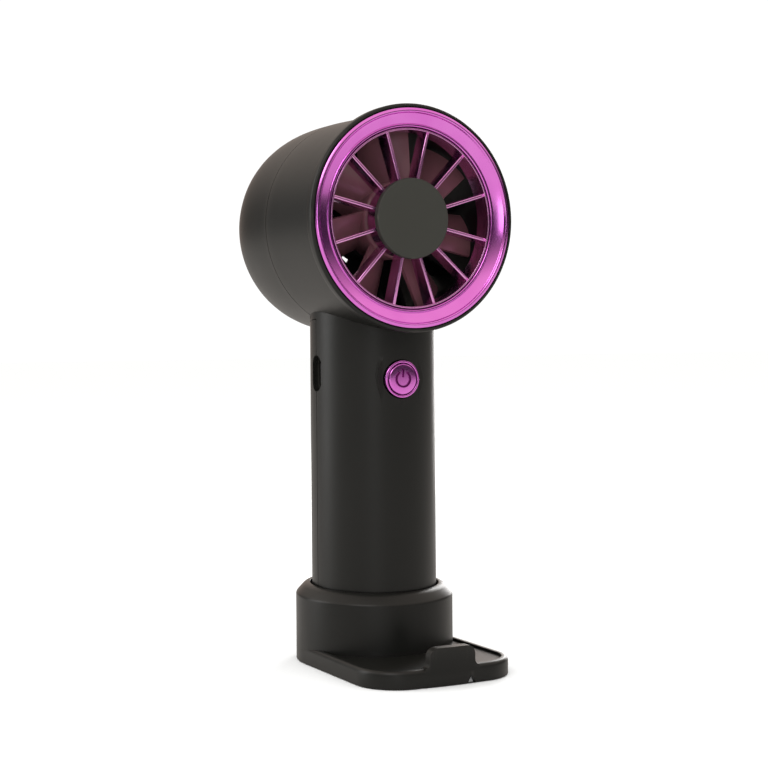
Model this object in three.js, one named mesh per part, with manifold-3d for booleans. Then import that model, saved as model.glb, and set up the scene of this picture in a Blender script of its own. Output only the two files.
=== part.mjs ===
// Handheld electric fan standing in its desk stand.
// A round battery handle carries a short turbine barrel. The barrel blows towards -Y.
// The handle lifts straight up out of a cup, and the cup runs forward into a tray with a
// phone stop. Millimetres, +Z up; the origin is on the floor, on the handle's own axis.

import * as THREE from 'three';
import { mergeVertices } from 'three/addons/utils/BufferGeometryUtils.js';
import Module from 'manifold-3d';

const wasm = await Module();
wasm.setup();

// ---------------------------------------------------------------- driving dimensions

const FIT = 0.3; // gap between neighbouring pieces
const ROUND = 40; // facets around the large turned shapes
const MID_ROUND = 24; // facets around the middle-sized ones
const SMALL_ROUND = 16; // facets around screws, pins and bearings

const handle = { radius: 21, wall: 2, bottom: 4.5 };
const barrel = { z: 146.5, wall: 2, front: -30.5, seam: 6.6, back: 46, room: 32.8 };
const rim = { radius: 36.7, back: -27 }; // the raised lip that holds the plated ring
const skin = { drop: 0.7, front: 35.1, seam: 35.9 }; // the barrel's outside, a little below the lip
const dome = { depth: 42, power: 3.8 }; // |(y - seam)/depth|^power + (r/skin.seam)^power = 1
const bezel = { outer: 35.3, inner: 29.3, waist: 32.4, step: -28.3, back: -23.2 };
const guard = { hoopInner: 28.4, hoopOuter: 28.95, hubRadius: 12.2, vanes: 12 };
const vane = { width: 1, firstDegrees: 13 };
const cap = { radius: 13, front: -29.7, back: -27.6 };
const duct = { inner: 31.1, outer: 32.4, front: -21.2, back: 6, vanes: 9, firstDegrees: 30 };
const impeller = { hub: 12.6, tip: 30.3, front: -19.4, back: -5, blades: 7 };
const grille = { z: 145.8, opening: 21.5, ribs: 8, ringRadii: [17, 12.8, 8.6] };
const button = { z: 94.7, radius: 5.05, bezelOuter: 6.15, bezelInner: 5.35 };
const port = { z: 96.5, recessHeight: 12, recessWidth: 6.6, floor: -19.2 };
const cell = { radius: 10.6, length: 70, bottom: 9.5, y: 2.5 };
const screw = { x: 15.2, heights: [22, 108], shank: 1, head: 2 };
const cup = { radius: 26.5, bore: 21.7, floor: 4.2, shoulder: 22, top: 25.8, lean: 0.035 };
const tray = { cornerRadius: 14, front: -53, bulge: 1.5, top: 5.9, chamfer: 1.4, foot: 0.15 };
const recess = { floor: 5, rim: 2.1 }; // the shallow well in the tray, and the flat rim around it
const tab = { halfWidth: 8.1, top: 12.2, thickness: 2.6, corner: 3, flare: 1.6 };
const pad = { skirt: 1.6, thickness: 2.6 };
const notch = { x: 6.7, width: 2.6, top: 2.9 };

// ---------------------------------------------------------------- solid helpers

// Turns a three.js geometry into a closed solid, with its faces pointing outwards.
function solid(geometry) {
  const bare = geometry.clone();
  bare.deleteAttribute('normal');
  bare.deleteAttribute('uv');
  const merged = mergeVertices(bare, 1e-4);
  const points = merged.attributes.position;
  const corner = [0, 1, 2].map(() => new THREE.Vector3());
  const triangles = [];
  let volume = 0;
  for (let i = 0; i < merged.index.count; i += 3) {
    const ids = [0, 1, 2].map((k) => merged.index.getX(i + k));
    if (new Set(ids).size < 3) continue;
    ids.forEach((id, k) => corner[k].fromBufferAttribute(points, id));
    volume += corner[0].dot(corner[1].clone().cross(corner[2]));
    triangles.push(ids);
  }
  if (volume < 0) triangles.forEach((ids) => ids.reverse());
  return new wasm.Manifold(
    new wasm.Mesh({
      numProp: 3,
      vertProperties: Float32Array.from(points.array),
      triVerts: Uint32Array.from(triangles.flat()),
    }),
  );
}

const join = (first, ...rest) => rest.reduce((sum, piece) => sum.add(piece), first);
const cut = (body, ...tools) => tools.reduce((left, tool) => left.subtract(tool), body);
const meet = (body, tool) => body.intersect(tool);

// Revolves an outline of [radius, y] points about the barrel's axis, which runs along Y.
function turnedAboutY(outline, z = barrel.z, facets = ROUND) {
  const closed = outline[0][0] > 0 ? [...outline, outline[0]] : outline;
  const geometry = new THREE.LatheGeometry(
    closed.map(([r, y]) => new THREE.Vector2(r, y)),
    facets,
  );
  return solid(geometry.translate(0, 0, z));
}

// Revolves an outline of [radius, z] points about a vertical axis.
function turnedAboutZ(outline, x = 0, y = 0, facets = ROUND) {
  const closed = outline[0][0] > 0 ? [...outline, outline[0]] : outline;
  const geometry = new THREE.LatheGeometry(
    closed.map(([r, z]) => new THREE.Vector2(r, z)),
    facets,
  );
  return solid(geometry.rotateX(Math.PI / 2).translate(x, y, 0));
}

const ringOutline = (inner, outer, from, to) => [
  [inner, from],
  [outer, from],
  [outer, to],
  [inner, to],
];
const rodOutline = (radius, from, to) => [
  [0, from],
  [radius, from],
  [radius, to],
  [0, to],
];

// A box given by its lowest and highest corners.
function block([x0, y0, z0], [x1, y1, z1]) {
  const geometry = new THREE.BoxGeometry(x1 - x0, y1 - y0, z1 - z0);
  return solid(geometry.translate((x0 + x1) / 2, (y0 + y1) / 2, (z0 + z1) / 2));
}

// A round rod along Y, standing anywhere.
const rodAlongY = (radius, x, z, from, to, facets = SMALL_ROUND) =>
  turnedAboutY(rodOutline(radius, from, to), z, facets).translate(x, 0, 0);

// Raises a flat outline in XY from one height to another, with an optional edge chamfer.
function raised(shape, from, to, chamfer = 0, curveSegments = 7) {
  const geometry = new THREE.ExtrudeGeometry(shape, {
    depth: to - from - 2 * chamfer,
    bevelEnabled: chamfer > 0,
    bevelThickness: chamfer,
    bevelSize: chamfer,
    bevelOffset: -chamfer,
    bevelSegments: 2,
    curveSegments,
  });
  return solid(geometry.translate(0, 0, from + chamfer));
}

// Copies a solid around the barrel's axis.
function spreadAroundBarrel(count, piece, startDegrees = 0) {
  const copies = [];
  for (let i = 0; i < count; i += 1) {
    const turn = startDegrees + (360 / count) * i;
    copies.push(
      piece.translate(0, 0, -barrel.z).rotate(0, turn, 0).translate(0, 0, barrel.z),
    );
  }
  return copies;
}

// A round lead swept along a smooth route.
function lead(radius, route, steps = 26) {
  const path = new THREE.CatmullRomCurve3(route.map((p) => new THREE.Vector3(...p)));
  const section = new THREE.Shape().absarc(0, 0, radius, 0, Math.PI * 2, false);
  return solid(
    new THREE.ExtrudeGeometry(section, {
      steps,
      extrudePath: path,
      curveSegments: 3,
      bevelEnabled: false,
    }),
  );
}

const model = new THREE.Group();
model.name = 'handheld_fan';

function place(name, body, colour, roughness, metalness = 0) {
  const { vertProperties, triVerts } = body.getMesh();
  const geometry = new THREE.BufferGeometry();
  geometry.setAttribute('position', new THREE.BufferAttribute(vertProperties, 3));
  geometry.setIndex(new THREE.BufferAttribute(triVerts, 1));
  geometry.computeVertexNormals();
  const look = new THREE.MeshStandardMaterial({ color: colour, roughness, metalness });
  const mesh = new THREE.Mesh(geometry, look);
  mesh.name = name;
  model.add(mesh);
}

const finish = {
  blackShell: ['#2a2a28', 0.42],
  plated: ['#c23fb4', 0.16, 1],
  greyCap: ['#3c3c38', 0.55],
  smoke: ['#735055', 0.3],
  darkDuct: ['#161617', 0.5],
  steel: ['#9a9ca0', 0.35, 1],
  circuitBoard: ['#1d5a3a', 0.5],
};

// ---------------------------------------------------------------- casing

const domeRadius = (rise, shrink) =>
  (skin.seam - shrink) *
  Math.pow(1 - Math.pow(rise / (dome.depth - shrink), dome.power), 1 / dome.power);

function domeOutline(end, shrink, steps = 7) {
  const points = [];
  for (let i = 1; i <= steps; i += 1) {
    const rise = (end - barrel.seam) * Math.sin((i / steps) * (Math.PI / 2));
    points.push([domeRadius(rise, shrink), barrel.seam + rise]);
  }
  return points;
}

// The whole casing before it is split: lip, barrel, domed back and round handle in one.
function casing() {
  const { front, seam, back, wall } = barrel;
  const lip = turnedAboutY([
    [0, front],
    [rim.radius - 0.8, front],
    [rim.radius - 0.25, front + 0.25],
    [rim.radius, front + 0.8],
    [rim.radius, rim.back],
    [0, rim.back],
  ]);
  const body = turnedAboutY(
    [
      [0, rim.back - 1],
      [skin.front, rim.back - 1],
      [skin.seam, seam],
      ...domeOutline(back, 0),
      [0, back],
    ],
    barrel.z - skin.drop,
  );
  const room = turnedAboutY([
    [0, front - 1],
    [bezel.outer + FIT, front - 1],
    [bezel.outer + FIT, bezel.step + FIT],
    [barrel.room, bezel.step + FIT],
    [barrel.room, seam],
    [0, seam],
  ]);
  const domeRoom = turnedAboutY(
    [
      [0, seam - 1],
      [skin.seam - wall, seam - 1],
      ...domeOutline(back - wall, wall),
      [0, back - wall],
    ],
    barrel.z - skin.drop,
  );
  const grip = turnedAboutZ(rodOutline(handle.radius, handle.bottom, barrel.z));
  const gripRoom = turnedAboutZ(
    rodOutline(handle.radius - handle.wall, handle.bottom - 1, barrel.z),
  );
  const intake = rodAlongY(grille.opening, 0, grille.z, 40, back + 1, ROUND);
  return {
    outer: join(lip, body, grip),
    hollow: cut(join(lip, body, grip), room, domeRoom, gripRoom, intake),
  };
}

// The parting plane runs up the handle's middle and steps back to the seam around the barrel.
function frontZone(gap) {
  const side = gap / 2;
  const barrelZone = rodAlongY(
    rim.radius + 1 - side,
    0,
    barrel.z - skin.drop,
    -60,
    barrel.seam - side,
    ROUND,
  );
  return join(block([-60, -60, 0], [60, -side, 200]), barrelZone);
}

// The oblong charging recess sits half in each shell, on a thicker pad of wall.
function portPad() {
  const half = port.recessHeight / 2 + 2.6;
  return block([-20, -5.2, port.z - half], [-17.2, 5.2, port.z + half]);
}

function portCuts() {
  const mouth = stadiumAlongX(port.recessHeight, port.recessWidth, -24, port.floor);
  const throat = stadiumAlongX(9.6, 3.9, -24, -15);
  return [mouth, throat];
}

// An oblong bar along X, upright: two round ends joined by flat sides.
function stadiumAlongX(height, width, from, to) {
  const reach = height / 2 - width / 2;
  const shape = new THREE.Shape();
  shape.absarc(0, reach, width / 2, 0, Math.PI, false);
  shape.absarc(0, -reach, width / 2, Math.PI, Math.PI * 2, false);
  const geometry = new THREE.ExtrudeGeometry(shape, {
    depth: to - from,
    bevelEnabled: false,
    curveSegments: 8,
  });
  geometry.rotateX(Math.PI / 2).rotateZ(Math.PI / 2);
  return solid(geometry.translate(from, 0, port.z));
}

function screwPosts(frontSide) {
  const posts = [];
  const holes = [];
  for (const z of screw.heights) {
    for (const x of [-screw.x, screw.x]) {
      if (frontSide) {
        posts.push(rodAlongY(2.2, x, z, -14, -0.45));
        holes.push(rodAlongY(screw.shank + FIT, x, z, -9.5, 1));
      } else {
        posts.push(rodAlongY(2.6, x, z, 0.45, 16));
        holes.push(rodAlongY(screw.shank + FIT, x, z, -1, 12));
        holes.push(rodAlongY(screw.head + FIT, x, z, 4.3, 24));
      }
    }
  }
  return { posts, holes };
}

function frontShell({ outer, hollow }) {
  const { posts, holes } = screwPosts(true);
  const buttonPad = rodAlongY(8.4, 0, button.z, -19.8, -17.5);
  const body = join(hollow, buttonPad, portPad(), ...posts);
  return cut(
    meet(meet(body, outer), frontZone(FIT)),
    rodAlongY(button.radius + 0.65, 0, button.z, -24, -15, MID_ROUND),
    rodAlongY(button.bezelOuter + FIT, 0, button.z, -24, -18.6, MID_ROUND),
    ...portCuts(),
    ...holes,
  );
}

function rearShell({ outer, hollow }) {
  const { posts, holes } = screwPosts(false);
  const body = join(hollow, portPad(), ...posts);
  return cut(meet(body, outer), frontZone(-FIT), ...portCuts(), ...holes);
}

function shellScrew(x, z) {
  const body = join(
    rodAlongY(screw.shank, x, z, -8.5, 4.8),
    rodAlongY(screw.head, x, z, 4.6, 6.1),
  );
  const crossA = block([x - 1.2, 5.4, z - 0.25], [x + 1.2, 7, z + 0.25]);
  const crossB = block([x - 0.25, 5.4, z - 1.2], [x + 0.25, 7, z + 1.2]);
  return cut(body, crossA, crossB);
}

// ---------------------------------------------------------------- air path

// The plated ring: a bright outer lip, a band that slopes inwards and a thin inner lip.
function bezelRing() {
  const { outer, inner, waist, step, back } = bezel;
  return turnedAboutY([
    [waist, back],
    [waist, step],
    [outer, step],
    [outer, -30.3],
    [outer - 0.35, -30.85],
    [outer - 1.1, -31.05],
    [outer - 1.7, -30.8],
    [inner + 1.1, -29],
    [inner + 0.6, -29.1],
    [inner, -28.8],
    [inner, back],
  ]);
}

// Twelve radial vanes between a thin hoop and a hub, with a flange that the ring clamps.
function frontGuard() {
  const flange = turnedAboutY([
    [guard.hoopInner, -28.8],
    [guard.hoopOuter, -28.8],
    [guard.hoopOuter, -22.8],
    [bezel.waist, -22.8],
    [bezel.waist, -21.8],
    [guard.hoopInner, -21.8],
  ]);
  const hub = turnedAboutY(
    [
      [2.8, -27.3],
      [guard.hubRadius, -27.3],
      [guard.hubRadius, -21.2],
      [guard.hubRadius - 1.2, -21.2],
      [guard.hubRadius - 1.2, -24.9],
      [2.8, -24.9],
    ],
    barrel.z,
    MID_ROUND,
  );
  const half = vane.width / 2;
  const blank = cut(
    block(
      [guard.hubRadius - 0.6, -28.1, barrel.z - half],
      [guard.hoopOuter - 0.25, -21.3, barrel.z + half],
    ),
    turnedAboutY(rodOutline(cap.radius + FIT, -30, -27.3), barrel.z, MID_ROUND),
  );
  return join(flange, hub, ...spreadAroundBarrel(guard.vanes, blank, vane.firstDegrees));
}

function hubCap() {
  const { radius, front, back } = cap;
  return turnedAboutY(
    [
      [0, front],
      [radius - 0.9, front],
      [radius - 0.3, front + 0.25],
      [radius, front + 0.8],
      [radius, back],
      [2.5, back],
      [2.5, -25.4],
      [0, -25.4],
    ],
    barrel.z,
    MID_ROUND,
  );
}

// One blade: a plate along X, twisted about its own length so its root is steeper.
function twistedBlade(from, to, chord, thickness, middleY, rootAngle, tipAngle, steps) {
  const geometry = new THREE.BoxGeometry(to - from, chord, thickness, steps, 3, 1);
  const points = geometry.attributes.position;
  const point = new THREE.Vector3();
  const axis = new THREE.Vector3(1, 0, 0);
  for (let i = 0; i < points.count; i += 1) {
    point.fromBufferAttribute(points, i);
    const along = point.x / (to - from) + 0.5;
    const camber = 1.4 * (1 - Math.pow((2 * point.y) / chord, 2));
    point.z += camber;
    point.applyAxisAngle(axis, THREE.MathUtils.lerp(rootAngle, tipAngle, along));
    points.setXYZ(i, point.x, point.y, point.z);
  }
  return solid(geometry.translate((from + to) / 2, middleY, barrel.z));
}

function fanImpeller() {
  const { hub, tip, front, back, blades } = impeller;
  const boss = turnedAboutY(
    [
      [0, front],
      [hub - 1.4, front],
      [hub - 0.3, front + 0.6],
      [hub, front + 1.6],
      [hub, back],
      [hub - 1.2, back],
      [hub - 1.2, -17.6],
      [0, -17.6],
    ],
    barrel.z,
    MID_ROUND,
  );
  const blade = twistedBlade(hub - 0.9, tip + 0.4, 15.5, 1.2, -12.4, 0.75, 1.0, 4);
  const trimmed = meet(
    blade,
    turnedAboutY(ringOutline(hub - 0.8, tip, front + 0.3, back - 0.3), barrel.z, ROUND),
  );
  return join(boss, ...spreadAroundBarrel(blades, trimmed, 8));
}

// The inner duct, its straightening vanes and the motor seat are one moulding.
function motorDuct() {
  const tube = turnedAboutY(ringOutline(duct.inner, duct.outer, duct.front, duct.back));
  const seat = turnedAboutY(
    [
      [3.5, -14.5],
      [4.1, -14.5],
      [4.1, -3],
      [13, -3],
      [13, 7],
      [11.8, 7],
      [11.8, -1.4],
      [4.1, -1.4],
      [4.1, 5],
      [3.5, 5],
    ],
    barrel.z,
    MID_ROUND,
  );
  const fin = twistedBlade(12.4, duct.inner + 0.6, 9, 1.1, 1, -0.35, -0.25, 1);
  return join(tube, seat, ...spreadAroundBarrel(duct.vanes, fin, duct.firstDegrees));
}

function rearGrille() {
  const edge = turnedAboutY([
    [19.8, 42],
    [23, 42],
    [23, 43.2],
    [grille.opening - FIT, 43.2],
    [grille.opening - FIT, 46],
    [19.8, 46],
  ]);
  const rings = grille.ringRadii.map((r) =>
    turnedAboutY(ringOutline(r - 0.7, r + 0.7, 44.2, 45.8), barrel.z, MID_ROUND),
  );
  const middle = turnedAboutY(rodOutline(4.6, 43.4, 45.8), barrel.z, SMALL_ROUND);
  const rib = block([3.6, 42.6, barrel.z - 0.7], [20.4, 45, barrel.z + 0.7]);
  const whole = join(edge, ...rings, middle, ...spreadAroundBarrel(grille.ribs, rib));
  return whole.translate(0, 0, grille.z - barrel.z);
}

// ---------------------------------------------------------------- motor

function rotorBell() {
  return turnedAboutY(
    [
      [1.8, -17.2],
      [10.5, -17.2],
      [11.1, -16.6],
      [11.1, -4.4],
      [10.4, -4.4],
      [10.4, -16.4],
      [1.8, -16.4],
    ],
    barrel.z,
    MID_ROUND,
  );
}

// Nine-pole laminated core: a ring with nine slots that open at its outer edge.
function motorStator() {
  const [from, to] = [-14.6, -6.6];
  const core = turnedAboutY(ringOutline(4.4, 8.4, from, to), barrel.z, MID_ROUND);
  const slot = join(
    block([5.5, from - 1, barrel.z - 1.2], [7.5, to + 1, barrel.z + 1.2]),
    block([7, from - 1, barrel.z - 0.5], [9, to + 1, barrel.z + 0.5]),
  );
  return cut(core, ...spreadAroundBarrel(9, slot));
}

const bearing = (from) =>
  turnedAboutY(ringOutline(1.8, 3.2, from, from + 2.5), barrel.z, SMALL_ROUND);

// ---------------------------------------------------------------- controls

function powerButton() {
  const { radius, z } = button;
  const body = turnedAboutY(
    [
      [0, -21.9],
      [radius - 0.7, -21.9],
      [radius, -21.4],
      [radius, -17.1],
      [6.6, -17.1],
      [6.6, -16.4],
      [1.4, -16.4],
      [1.4, -15.6],
      [0, -15.6],
    ],
    z,
    MID_ROUND,
  );
  const arc = new THREE.Shape();
  const gap = 0.55;
  arc.absarc(0, 0, 2.8, Math.PI / 2 + gap, Math.PI * 2.5 - gap, false);
  arc.absarc(0, 0, 2.2, Math.PI * 2.5 - gap, Math.PI / 2 + gap, true);
  const mark = new THREE.ExtrudeGeometry(arc, {
    depth: 0.6,
    bevelEnabled: false,
    curveSegments: 20,
  });
  mark.rotateX(Math.PI / 2).translate(0, -21.6, z);
  const bar = block([-0.3, -22.2, z + 0.5], [0.3, -21.6, z + 3.3]);
  return join(body, solid(mark), bar);
}

const buttonBezel = () =>
  turnedAboutY(
    [
      [button.bezelInner, -18.9],
      [button.bezelOuter, -18.9],
      [button.bezelOuter, -21.2],
      [button.bezelOuter - 0.3, -21.55],
      [button.bezelInner + 0.1, -21.6],
      [button.bezelInner, -21.3],
    ],
    button.z,
    MID_ROUND,
  );

function tactSwitch() {
  const body = block([-3, -15, button.z - 3], [3, -11.6, button.z + 3]);
  return cut(body, rodAlongY(1.8, 0, button.z, -16, -12.4));
}

function usbSocket() {
  const sleeve = cut(
    stadiumAlongX(8.9, 3.2, -18.6, -11.4),
    stadiumAlongX(8.3, 2.6, -19, -12.4),
  );
  return join(sleeve, block([-17.8, -0.35, port.z - 3.3], [-12, 0.35, port.z + 3.3]));
}

// ---------------------------------------------------------------- battery

function batteryCell() {
  const { radius, length, bottom, y } = cell;
  const top = bottom + length;
  return turnedAboutZ(
    [
      [0, bottom],
      [radius - 0.5, bottom],
      [radius, bottom + 0.5],
      [radius, top - 0.5],
      [radius - 0.5, top],
      [3.6, top],
      [3.4, top + 1.1],
      [0, top + 1.1],
    ],
    0,
    y,
    MID_ROUND,
  );
}

// An open trough around the back of the cell, with a plate at each end.
function batteryCradle() {
  const outer = cell.radius + 1.6;
  const trough = turnedAboutZ(
    ringOutline(cell.radius + FIT, outer, 7.3, 82.9),
    0,
    cell.y,
    MID_ROUND,
  );
  const openFront = block([-20, -20, 8.6], [20, cell.y - 1, 81.5]);
  const ends = [7.3, 81.5].map((z) =>
    turnedAboutZ(rodOutline(outer, z, z + 1.3), 0, cell.y, MID_ROUND),
  );
  return join(cut(trough, openFront), ...ends);
}

// ---------------------------------------------------------------- stand

// The tray outline: round behind the cup, straight sides, round corners, a bowed front.
function standOutline(inset = 0) {
  const side = cup.radius - inset;
  const corner = tray.cornerRadius - inset;
  const cornerX = cup.radius - tray.cornerRadius;
  const cornerY = tray.front + tray.cornerRadius;
  const shape = new THREE.Shape();
  shape.absarc(0, 0, side, 0, Math.PI, false);
  shape.lineTo(-side, cornerY);
  shape.absarc(-cornerX, cornerY, corner, Math.PI, Math.PI * 1.5, false);
  shape.quadraticCurveTo(0, tray.front + inset - tray.bulge, cornerX, tray.front + inset);
  shape.absarc(cornerX, cornerY, corner, Math.PI * 1.5, Math.PI * 2, false);
  shape.closePath();
  return shape;
}

// The cup's rim is a little lower in front, so its height leans with y.
function leaning(geometry) {
  const points = geometry.attributes.position;
  for (let i = 0; i < points.count; i += 1) {
    const rise = Math.max(0, points.getZ(i) - cup.floor) / (cup.top - cup.floor);
    points.setZ(i, points.getZ(i) + rise * cup.lean * points.getY(i));
  }
  return geometry;
}

function standCup() {
  const { radius, bore, floor, shoulder, top } = cup;
  const outline = [
    [0, tray.foot],
    [radius - 0.3, tray.foot],
    [radius, tray.foot + 0.35],
    [radius, shoulder],
    [radius - 0.35, shoulder + 0.6],
    [radius - 2.5, top - 0.8],
    [radius - 3.6, top - 0.1],
    [bore + 0.3, top],
    [bore, top - 0.3],
    [bore, floor],
    [0, floor],
  ];
  const points = outline.map(([r, z]) => new THREE.Vector2(r, z));
  return solid(leaning(new THREE.LatheGeometry(points, ROUND).rotateX(Math.PI / 2)));
}

function phoneStop() {
  const { halfWidth, top, thickness, corner, flare } = tab;
  const root = tray.top - tray.chamfer;
  const shape = new THREE.Shape();
  shape.moveTo(-halfWidth - flare, root);
  shape.lineTo(-halfWidth - flare, tray.top);
  shape.quadraticCurveTo(-halfWidth, tray.top, -halfWidth, tray.top + flare);
  shape.lineTo(-halfWidth, top - corner);
  shape.quadraticCurveTo(-halfWidth, top, corner - halfWidth, top);
  shape.lineTo(halfWidth - corner, top);
  shape.quadraticCurveTo(halfWidth, top, halfWidth, top - corner);
  shape.lineTo(halfWidth, tray.top + flare);
  shape.quadraticCurveTo(halfWidth, tray.top, halfWidth + flare, tray.top);
  shape.lineTo(halfWidth + flare, root);
  shape.closePath();
  const geometry = new THREE.ExtrudeGeometry(shape, {
    depth: thickness + 2,
    bevelEnabled: false,
    curveSegments: 6,
  });
  geometry.rotateX(Math.PI / 2).translate(0, tray.front + thickness, 0);
  return meet(solid(geometry), raised(standOutline(0.05), 3, 20));
}

function standBody() {
  const plate = cut(
    meet(
      raised(standOutline(), -8, tray.top, tray.chamfer),
      raised(standOutline(), tray.foot, 20, 0.3),
    ),
    raised(standOutline(recess.rim), recess.floor, 12),
  );
  const hollow = raised(standOutline(pad.skirt), -1, pad.thickness + FIT);
  const tooth = new THREE.Shape();
  tooth.moveTo(notch.x - notch.width / 2 - 0.2, 0.2);
  tooth.lineTo(notch.x + notch.width / 2 + 0.2, 0.2);
  tooth.lineTo(notch.x, notch.top);
  const notchGeometry = new THREE.ExtrudeGeometry(tooth, { depth: 5, bevelEnabled: false });
  notchGeometry.rotateX(Math.PI / 2).translate(0, tray.front + 2.4, 0);
  const bore = turnedAboutZ(rodOutline(cup.bore, cup.floor, tray.top + 1));
  return cut(join(cut(plate, bore), standCup(), phoneStop()), hollow, solid(notchGeometry));
}

function basePad() {
  const sheet = raised(standOutline(pad.skirt + FIT), 0, pad.thickness);
  return cut(sheet, raised(standOutline(6), 1.1, 4));
}

// ---------------------------------------------------------------- assembly

const shells = casing();
place('front_shell', frontShell(shells), ...finish.blackShell);
place('rear_shell', rearShell(shells), ...finish.blackShell);
let screwNumber = 1;
for (const z of screw.heights) {
  for (const x of [-screw.x, screw.x]) {
    place(`shell_screw_${screwNumber}`, shellScrew(x, z), ...finish.steel);
    screwNumber += 1;
  }
}
place('handle_end_cap', turnedAboutZ(rodOutline(18.7, 4.7, 6.9)), ...finish.blackShell);

place('bezel_ring', bezelRing(), ...finish.plated);
place('front_guard', frontGuard(), ...finish.plated);
place('hub_cap', hubCap(), ...finish.greyCap);
place('impeller', fanImpeller(), ...finish.smoke);
place('motor_duct', motorDuct(), ...finish.darkDuct);
place('rear_grille', rearGrille(), ...finish.blackShell);

place('rotor_bell', rotorBell(), ...finish.steel);
place(
  'magnet_ring',
  turnedAboutY(ringOutline(8.9, 10.1, -15.8, -5.4), barrel.z, MID_ROUND),
  '#3a3a3e',
  0.6,
  0.4,
);
place('motor_stator', motorStator(), '#8a8478', 0.5, 0.8);
place('motor_shaft', rodAlongY(1.5, 0, barrel.z, -17, 9), ...finish.steel);
place('front_bearing', bearing(-14.2), ...finish.steel);
place('rear_bearing', bearing(2), ...finish.steel);

place('power_button', powerButton(), ...finish.plated);
place('button_bezel', buttonBezel(), ...finish.plated);
place('switch_plunger', rodAlongY(1.4, 0, button.z, -15.3, -13.2), '#d8d2c4', 0.5);
place('tact_switch', tactSwitch(), '#1b1b1d', 0.5);
place('circuit_board', block([-9, -11.3, 84], [9, -10.1, 111]), ...finish.circuitBoard);
place('charge_board', block([-16.8, 1.9, 87], [-4, 3.1, 104.8]), ...finish.circuitBoard);
place('usb_socket', usbSocket(), ...finish.steel);

place('battery_cell', batteryCell(), '#3f6fb0', 0.45);
place('battery_cradle', batteryCradle(), '#202022', 0.6);
place('positive_tab', block([-3, -0.5, 80.9], [3, 5.5, 81.2]), '#c9c6bd', 0.3, 1);
place('negative_tab', block([1.5, -10.6, 8.9], [8.5, 5, 9.2]), '#c9c6bd', 0.3, 1);
const positiveRoute = [
  [4, 2.5, 83.3],
  [4, 2.3, 85.5],
  [0, 1, 88],
  [-6, 0.7, 90.5],
  [-7.5, 0.7, 94],
];
place('battery_lead_positive', lead(0.8, positiveRoute, 16), '#a32020', 0.5);
const negativeRoute = [
  [5, -11.2, 9.6],
  [5, -11.2, 30],
  [5, -11.2, 60],
  [5, -11.1, 83.6],
];
place('battery_lead_negative', lead(0.8, negativeRoute, 10), '#161618', 0.5);
const motorRoute = [
  [0, -8.6, 103],
  [0, -8.4, 107],
  [0, -6, 110.6],
  [0, 0, 111.7],
  [0, 10, 111.6],
  [0, 14.6, 112.2],
  [0, 17.2, 116.5],
  [0, 17.8, 124],
  [0, 17.2, 132],
  [0, 13.5, 138.5],
  [0, 7, 140.9],
  [0, -0.6, 141],
];
place('motor_lead', lead(0.9, motorRoute, 30), '#161618', 0.5);

place('stand_body', standBody(), ...finish.blackShell);
place('base_pad', basePad(), '#9b9b9b', 0.8);
place('ballast_plate', raised(standOutline(6 + FIT), 1.4, 2.3), ...finish.steel);

export default model;
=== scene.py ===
# %% [markdown]
# # A handheld fan in its desk stand
# The fan is a round battery handle with a short turbine barrel on top. It stands in a cup that runs
# forwards into a small tray, where an upright tab stops a phone from sliding off. Nearly everything
# outside is one of three things: satin black moulded ABS, magenta mirror-plated ABS, and smoked plastic.
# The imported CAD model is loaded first. It fixes every size and place, in metres, and the pieces below
# are smoother and finer versions of its faceted solids, made in the same places.

import math

import bmesh
import bpy
from mathutils import Euler, Matrix, Vector


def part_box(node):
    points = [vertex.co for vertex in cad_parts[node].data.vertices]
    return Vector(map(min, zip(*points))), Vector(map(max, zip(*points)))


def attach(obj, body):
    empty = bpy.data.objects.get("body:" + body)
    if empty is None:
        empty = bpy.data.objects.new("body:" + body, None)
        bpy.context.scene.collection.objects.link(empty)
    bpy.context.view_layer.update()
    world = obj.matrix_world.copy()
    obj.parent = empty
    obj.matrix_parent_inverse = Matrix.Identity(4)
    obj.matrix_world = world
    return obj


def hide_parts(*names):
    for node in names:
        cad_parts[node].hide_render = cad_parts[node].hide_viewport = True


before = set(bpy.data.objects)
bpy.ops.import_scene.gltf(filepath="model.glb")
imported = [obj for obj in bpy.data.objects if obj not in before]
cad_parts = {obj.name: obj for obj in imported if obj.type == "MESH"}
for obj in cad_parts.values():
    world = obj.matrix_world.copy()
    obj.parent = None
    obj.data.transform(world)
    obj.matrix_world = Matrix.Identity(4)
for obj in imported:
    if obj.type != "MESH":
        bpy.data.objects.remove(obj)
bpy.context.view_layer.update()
MM = 0.001

# %% [markdown]
# ## The places that everything else is measured from
# Every lathe-turned piece is on one of three axes: the barrel's, along Y, the button's, also along Y,
# and the handle's, upright through the origin. Their heights come from the boxes of CAD nodes, so that
# a change in the CAD moves the looks with it.

# %% Axes and main faces


def middle(node_name):
    low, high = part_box(node_name)
    return (low + high) / 2


BARREL_Z = middle("magnet_ring").z / MM
BUTTON_Z = middle("button_bezel").z / MM
PORT_Z = middle("usb_socket").z / MM
MOUTH_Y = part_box("front_shell")[0].y / MM  # the face of the black rim around the plated ring
BACK_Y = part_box("rear_shell")[1].y / MM
HANDLE_RADIUS = 21.0
print("barrel axis", round(BARREL_Z, 2), "button", round(BUTTON_Z, 2), "mouth", round(MOUTH_Y, 2))

# %% [markdown]
# ## The camera
# It comes first, because every later choice is judged through it. It stands half a metre away, a little
# to the left of the fan and at about the height of the handle's middle, and looks very slightly down.
# A 78 mm lens from there keeps the barrel nearly as round as it is.

# %% Camera
CAMERA_AZIMUTH = math.radians(-27.08)  # 0 looks straight at the front, negative stands to the left
CAMERA_DISTANCE = 0.5597
CAMERA_HEIGHT = 0.1102
CAMERA_PITCH = math.radians(1.81)
CAMERA_YAW = math.radians(-0.39)
CAMERA_ROLL = math.radians(-0.41)

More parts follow.
